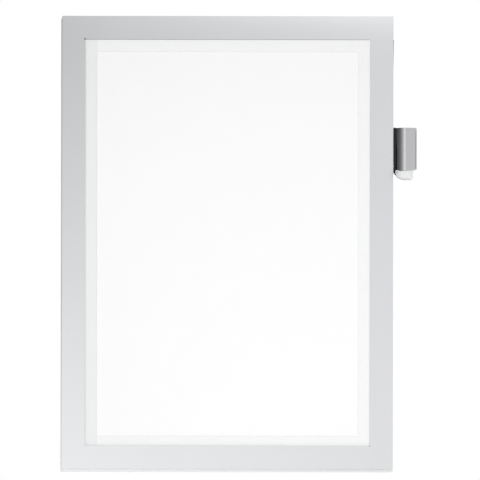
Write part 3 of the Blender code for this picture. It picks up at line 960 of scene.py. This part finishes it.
class SIGNFRAME_OT_sleeve(Operator):
    """Build the satin metal sleeve of the pen holder"""

    bl_idname = "signframe.sleeve"
    bl_label = "Metal sleeve"

    def execute(self, context):
        settings = context.scene.sign_pen
        metal = satin_metal("satin_metal_sleeve", settings.metal_colour, settings.metal_roughness)
        add_piece("pen_sleeve", sleeve_mesh(settings), metal, "back_leaf", ["pen_tube"], 40.0)
        return {"FINISHED"}


def add_ribs(bm):
    """Low ribs on the web above and below the tab, which close the gap beside the leaf."""
    depth = 0.5 * MM
    height = 0.27 * MM
    above_tab = 0.12 * MM
    top, foot = TUBE_LEVEL + 14.8 * MM, TUBE_LEVEL - 16.5 * MM
    cut_at(bm, 1, -depth)
    for low, high in ((TAB_TOP + above_tab, top), (foot, NECK_LOW)):
        cut_at(bm, 2, low)
        cut_at(bm, 2, high)
        ground = []
        for face in bm.faces:
            centre = face.calc_center_median()
            if abs(centre.x - WEB_LEFT) < SLACK and centre.y > -depth and low < centre.z < high:
                ground.append(face)
        grown = bmesh.ops.extrude_face_region(bm, geom=ground)["geom"]
        bmesh.ops.translate(bm, vec=(-height, 0.0, 0.0), verts=verts_of(grown))
        bmesh.ops.delete(bm, geom=ground, context="FACES_ONLY")


def fit_bracket(bm, settings):
    """Rib the bracket, lower its top to the sleeve's, close its web up to the sleeve and lean its tail."""
    foot = TUBE_LOW.z
    rim = foot + 0.7 * MM
    tail_length = 2.8 * MM
    tail_drop = 0.5 * MM
    tail_curve = 1.5
    crest = TUBE_HIGH.z - 1.25 * MM
    crest_rise = 0.3 * MM
    add_ribs(bm)
    for place in (NECK_LOW + 0.5 * MM, NECK_LOW, rim, foot):
        cut_at(bm, 2, place)
    for share in (0.25, 0.5, 0.75):
        cut_at(bm, 2, foot - share * tail_length)
    for vert in bm.verts:
        if vert.co.z > TUBE_HIGH.z - SLACK:
            vert.co.z -= settings.top_drop
        if not WEB_LEFT - SLACK < vert.co.x < WEB_RIGHT + SLACK:
            continue
        below = max(0.0, (foot - vert.co.z) / tail_length)
        if vert.co.x > WEB_RIGHT - SLACK:
            close = settings.web_close
            if vert.co.z < NECK_LOW + SLACK:
                close += settings.foot_close
            vert.co.x += close * min(1.0, max(0.0, (vert.co.z - foot) / (rim - foot)))
        elif below > 0.0:
            vert.co.z -= tail_drop
        elif vert.co.z > crest:
            vert.co.z += crest_rise
        vert.co.x += settings.tail_lean * below**tail_curve


class SIGNFRAME_OT_bracket(Operator):
    """Build the moulded bracket and finish its adhesive pad"""

    bl_idname = "signframe.bracket"
    bl_label = "Bracket"

    def execute(self, context):
        settings = context.scene.sign_pen
        bm = copy_node("pen_bracket")
        fit_bracket(bm, settings)
        bevel_sharp(bm, settings.edge_round, angle=40.0)
        black = moulded_black("moulded_black", settings.black_colour)
        add_piece("pen_bracket_moulding", bm, black, "back_leaf", ["pen_bracket"])
        dress_node("bracket_pad", adhesive_foam("adhesive_foam"))
        return {"FINISHED"}


def stop_rings():
    """Rings of the stop from its foot over its lip and plug down into its pocket: shift, radius and level."""
    height = 6.5 * MM
    shoulder = STOP_LOW.z + height
    left_full, left_draw, left_start, left_curve = 7.28 * MM, 5.0 * MM, 0.55, 2.2
    right_full, right_draw, right_start, right_curve = 4.75 * MM, 2.0 * MM, 0.65, 4.0
    steps = 18
    rings = []
    for step in range(steps):
        down = 1.0 - step / steps
        left = left_full - left_draw * max(0.0, (down - left_start) / (1.0 - left_start)) ** left_curve
        right = right_full - right_draw * max(0.0, (down - right_start) / (1.0 - right_start)) ** right_curve
        rings.append(((right - left) / 2, (right + left) / 2, shoulder - height * down))
    shift, lip = (right_full - left_full) / 2, (right_full + left_full) / 2
    edge = 0.35 * MM
    for inward, below in ((0.0, edge), (0.3 * edge, 0.3 * edge), (edge, 0.0)):
        rings.append((shift, lip - inward, shoulder - below))
    plug, plug_edge = 5.2 * MM, 0.4 * MM
    pocket, pocket_floor = 4.2 * MM, 3.0 * MM
    for radius, level in (
        (plug, shoulder), (plug, STOP_HIGH.z - plug_edge), (plug - plug_edge, STOP_HIGH.z), (pocket, STOP_HIGH.z),
        (pocket, shoulder - 3.4 * MM), (pocket_floor, shoulder - 3.8 * MM),
    ):
        rings.append((0.0, radius, level))
    return rings


def stop_mesh():
    """Frosted foot, fuller towards the frame, with its plug and its pocket for the pen's tip."""
    centre = tube_centre()
    bm = bmesh.new()
    loops = []
    for shift, radius, level in stop_rings():
        place = Matrix.Translation((centre.x + shift, centre.y, level))
        verts = bmesh.ops.create_circle(bm, cap_ends=False, segments=96, radius=radius, matrix=place)["verts"]
        loops.append(list({edge for vert in verts for edge in vert.link_edges}))
    for lower, upper in zip(loops, loops[1:]):
        bmesh.ops.bridge_loops(bm, edges=lower + upper)
    for end in (loops[0], loops[-1]):
        bmesh.ops.edgeloop_fill(bm, edges=end)
    face_outwards(bm)
    return bm


class SIGNFRAME_OT_stop(Operator):
    """Build the frosted stop under the sleeve"""

    bl_idname = "signframe.stop"
    bl_label = "Frosted stop"

    def execute(self, context):
        settings = context.scene.sign_pen
        frosted = frosted_plastic("frosted_plastic", settings.frosted_colour)
        add_piece("pen_stop_frosted", stop_mesh(), frosted, "back_leaf", ["pen_stop"], 40.0)
        return {"FINISHED"}


# Stage


def add_stage_object(name, bm, material):
    """Add a mesh that belongs to the stage."""
    item = put_object(name, make_mesh(name, bm))
    item.data.materials.append(material)
    return item


def backdrop_share(tree):
    """One for camera, glossy and transmission rays, zero for the rest."""
    path = put_node(tree, "ShaderNodeLightPath")
    seen = maths(tree, "ADD", path.outputs["Is Camera Ray"], path.outputs["Is Glossy Ray"])
    return maths(tree, "ADD", seen, path.outputs["Is Transmission Ray"], clamp=True)


def set_world(level):
    """White backdrop for the eye and for reflections, plain level for the light."""
    world = bpy.data.worlds.new("studio")
    bpy.context.scene.world = world
    world.use_nodes = True
    world.cycles.sampling_method = "NONE"
    tree = world.node_tree
    tree.nodes.clear()
    strength = remap(tree, backdrop_share(tree), level, 1.0)
    background = put_node(tree, "ShaderNodeBackground", {"Color": (1.0, 1.0, 1.0, 1.0), "Strength": strength})
    put_node(tree, "ShaderNodeOutputWorld", {"Surface": background.outputs["Background"]})


def floor_material(radius):
    """Pale matt floor that fades into the white backdrop towards its rim."""
    material, tree, shader = start_material("pale_floor", {"Roughness": 0.7, "Specular IOR Level": 0.2})
    vector = object_pattern(tree)
    tone, height = use_grain(tree, vector, 900.0, 0.5)
    body = mix_colours(tree, tone, (0.8, 0.8, 0.8, 1.0), (0.83, 0.83, 0.83, 1.0))
    finish_surface(tree, shader, body, None, height, 0.02 * MM, 0.3)
    flat = put_node(tree, "ShaderNodeVectorMath", {0: vector, 1: (1.0, 1.0, 0.0)}, operation="MULTIPLY")
    away = put_node(
        tree, "ShaderNodeVectorMath", {0: flat.outputs["Vector"]}, operation="LENGTH"
    ).outputs["Value"]
    rim = remap(tree, away, 0.0, 1.0, 0.35 * radius, 0.95 * radius, smooth=True)
    clear = put_node(tree, "ShaderNodeBsdfTransparent")
    mixed = put_node(
        tree, "ShaderNodeMixShader", {0: rim, 1: shader.outputs["BSDF"], 2: clear.outputs["BSDF"]}
    )
    output = next(node for node in tree.nodes if node.bl_idname == "ShaderNodeOutputMaterial")
    tree.links.new(mixed.outputs["Shader"], output.inputs["Surface"])
    return material


def add_floor(settings):
    """Round pale floor below the frame."""
    bm = bmesh.new()
    bmesh.ops.create_circle(
        bm, cap_ends=True, segments=96, radius=settings.floor_radius,
        matrix=Matrix.Translation((0.0, 0.0, settings.floor_level)),
    )
    add_stage_object("floor", bm, floor_material(settings.floor_radius))


def aim_matrix(place, target):
    """Placement that looks from a place to a target."""
    direction = (Vector(target) - Vector(place)).normalized()
    return Matrix.Translation(place) @ direction.to_track_quat("-Z", "Y").to_matrix().to_4x4()


def add_softbox(name, place, target, width, height, power):
    """Rectangular soft light."""
    data = bpy.data.lights.new(name, "AREA")
    data.shape = "RECTANGLE"
    data.size = width
    data.size_y = height
    data.energy = power
    lamp = put_object(name, data)
    lamp.matrix_world = aim_matrix(place, target)
    lamp.visible_camera = False
    lamp.visible_glossy = False


def add_card(name, place, facing, width, height, strengths, one_sided=True):
    """Card that only reflections see, its strength even between its corners: top left, top right, lower left and
    lower right for someone at its place who looks where it faces. A one-sided card is clear from behind."""
    material = bpy.data.materials.new(name)
    material.use_nodes = True
    material.cycles.emission_sampling = "NONE"
    tree = material.node_tree
    tree.nodes.clear()
    on_card = split_vector(tree, put_node(tree, "ShaderNodeUVMap", uv_map="card").outputs["UV"])
    top_left, top_right, low_left, low_right = strengths
    upper = remap(tree, on_card["X"], top_left, top_right)
    lower = remap(tree, on_card["X"], low_left, low_right)
    strength = remap(tree, on_card["Y"], lower, upper)
    surface = put_node(tree, "ShaderNodeEmission", {"Strength": strength}).outputs["Emission"]
    if one_sided:
        clear = put_node(tree, "ShaderNodeBsdfTransparent").outputs["BSDF"]
        behind = put_node(tree, "ShaderNodeNewGeometry").outputs["Backfacing"]
        surface = put_node(tree, "ShaderNodeMixShader", {0: behind, 1: clear, 2: surface}).outputs["Shader"]
    put_node(tree, "ShaderNodeOutputMaterial", {"Surface": surface})

    bm = bmesh.new()
    bmesh.ops.create_grid(bm, x_segments=1, y_segments=1, size=0.5)
    layer = bm.loops.layers.uv.new("card")
    for face in bm.faces:
        for loop in face.loops:
            loop[layer].uv = (loop.vert.co.x + 0.5, loop.vert.co.y + 0.5)
    bmesh.ops.scale(bm, vec=(width, height, 1.0), verts=bm.verts)
    bmesh.ops.transform(bm, matrix=aim_matrix(place, Vector(place) + Vector(facing)), verts=bm.verts)
    card = add_stage_object(name, bm, material)
    card.visible_camera = False
    card.visible_diffuse = False
    card.visible_shadow = False
    card.visible_transmission = False
    card.visible_volume_scatter = False


def add_camera(settings):
    """Long lens at the photograph's viewing angle, turned by the picture's slight lean."""
    data = bpy.data.cameras.new("camera")
    data.sensor_width = 36.0
    data.lens = data.sensor_width * settings.distance / settings.field_width
    data.clip_start = 0.1
    data.clip_end = 50.0
    camera = put_object("camera", data)
    aim = Vector(settings.aim)
    place = aim - Vector((0.0, settings.distance, 0.0))
    camera.matrix_world = aim_matrix(place, aim) @ Matrix.Rotation(settings.lean, 4, "Z")
    bpy.context.scene.camera = camera


def add_lamps():
    """Soft lights from the left, the front, the right and behind."""
    middle = (0.0, 0.0, (TOP + FACE_BOTTOM) / 2)
    for name, place, target, width, height, power in (
        ("key", (-0.8, -2.0, -0.24), middle, 1.0, 0.3, 9.06),
        ("fill", (0.12, -1.1, -0.19), middle, 0.24, 0.2, 8.97),
        ("side", (0.8, 0.12, -0.12), (RIGHT + 0.01, -0.008, -0.105), 0.2, 0.2, 2.7),
        ("rear_right", (0.7, 1.1, 0.0), middle, 0.9, 0.7, 8.5),
        ("rear_left", (-0.7, 1.1, 0.0), middle, 0.9, 0.7, 8.5),
    ):
        add_softbox(name, place, target, width, height, power)


def add_cards():
    """Reflections for the face, its left edge, the sleeve from its shaded side to its gleam, the bracket's web, the
    right strip's edge and the face's upper edge."""
    middle = Vector((0.0, 0.0, (TOP + FACE_BOTTOM) / 2))
    right = Vector((1.0, 0.0, 0.0))
    front = Vector((0.0, -1.0, 0.0))
    add_card("front_card", middle + 0.2 * front, -front, 0.62, 0.66, (0.26, 1.10, 1.70, 0.92), one_sided=False)
    add_card("left_flag", (-0.27, -0.174, -0.03), right, 0.332, 0.44, (0.05,) * 4, one_sided=False)
    for name, near, far, low, high in (
        ("tube_shade", -0.0097, -0.015, 0.09, 0.28),
        ("tube_flag", -0.015, -0.030, 0.28, 1.3),
        ("tube_gleam", -0.030, -0.050, 1.6, 1.6),
    ):
        add_card(name, (RIGHT, (near + far) / 2, TUBE_LEVEL), right, near - far, 0.052, (low, high, low, high))
    for name, beside, depth, level, facing, width, height, strength in (
        ("web_gleam", 0.00028, -0.0071, TUBE_LEVEL, -right, 0.0048, 0.031, 1.1),
        ("limb_gleam", 0.00172, -0.0048, TUBE_LEVEL, right, 0.0094, 0.030, 0.2),
        ("tail_gleam", 0.00177, -0.0075, TUBE_LOW.z - 0.0016, right, 0.006, 0.003, 1.4),
        ("edge_flag", 0.028, 0.004, TUBE_LEVEL, front, 0.020, 0.030, 0.45),
    ):
        add_card(name, (RIGHT + beside, depth, level), facing, width, height, (strength,) * 4)
    add_card("top_gleam", (0.0, -0.05, 0.035), -front, 0.26, 0.05, (0.75, 1.5, 0.75, 1.5))


class SIGNFRAME_OT_stage(Operator):
    """Set the floor, the light, the reflection cards and the camera"""

    bl_idname = "signframe.stage"
    bl_label = "Stage"

    def execute(self, context):
        settings = context.scene.sign_stage
        context.scene.view_settings.view_transform = "Standard"
        set_world(settings.room_level)
        add_floor(settings)
        add_camera(settings)
        add_lamps()
        add_cards()
        return {"FINISHED"}


class SIGNFRAME_PT_pieces(Panel):
    """Pieces of the sign frame and its stage"""

    bl_idname = "SIGNFRAME_PT_pieces"
    bl_label = "Sign Frame"
    bl_space_type = "VIEW_3D"
    bl_region_type = "UI"
    bl_category = "Sign Frame"

    def draw(self, context):
        for operator in OPERATORS:
            self.layout.operator(operator.bl_idname)
        for name in SETTINGS:
            box = self.layout.box()
            values = getattr(context.scene, name)
            for key in values.__annotations__:
                box.prop(values, key)


OPERATORS = (
    SIGNFRAME_OT_face,
    SIGNFRAME_OT_back_panel,
    SIGNFRAME_OT_magnets,
    SIGNFRAME_OT_sheet,
    SIGNFRAME_OT_film,
    SIGNFRAME_OT_hinge,
    SIGNFRAME_OT_sleeve,
    SIGNFRAME_OT_bracket,
    SIGNFRAME_OT_stop,
    SIGNFRAME_OT_stage,
)
SETTINGS = {
    "sign_face": FaceSettings,
    "sign_leaf": LeafSettings,
    "sign_pen": PenSettings,
    "sign_stage": StageSettings,
}


def register():
    """Register the settings, operators and panel."""
    for item in (*SETTINGS.values(), *OPERATORS, SIGNFRAME_PT_pieces):
        bpy.utils.register_class(item)
    for name, kind in SETTINGS.items():
        setattr(bpy.types.Scene, name, PointerProperty(type=kind))


def unregister():
    """Remove the settings, operators and panel."""
    for name in SETTINGS:
        delattr(bpy.types.Scene, name)
    for item in reversed((*SETTINGS.values(), *OPERATORS, SIGNFRAME_PT_pieces)):
        bpy.utils.unregister_class(item)


def main():
    """Build every piece and the stage."""
    register()
    for operator in OPERATORS:
        group, name = operator.bl_idname.split(".")
        getattr(getattr(bpy.ops, group), name)()


if __name__ == "__main__":
    main()
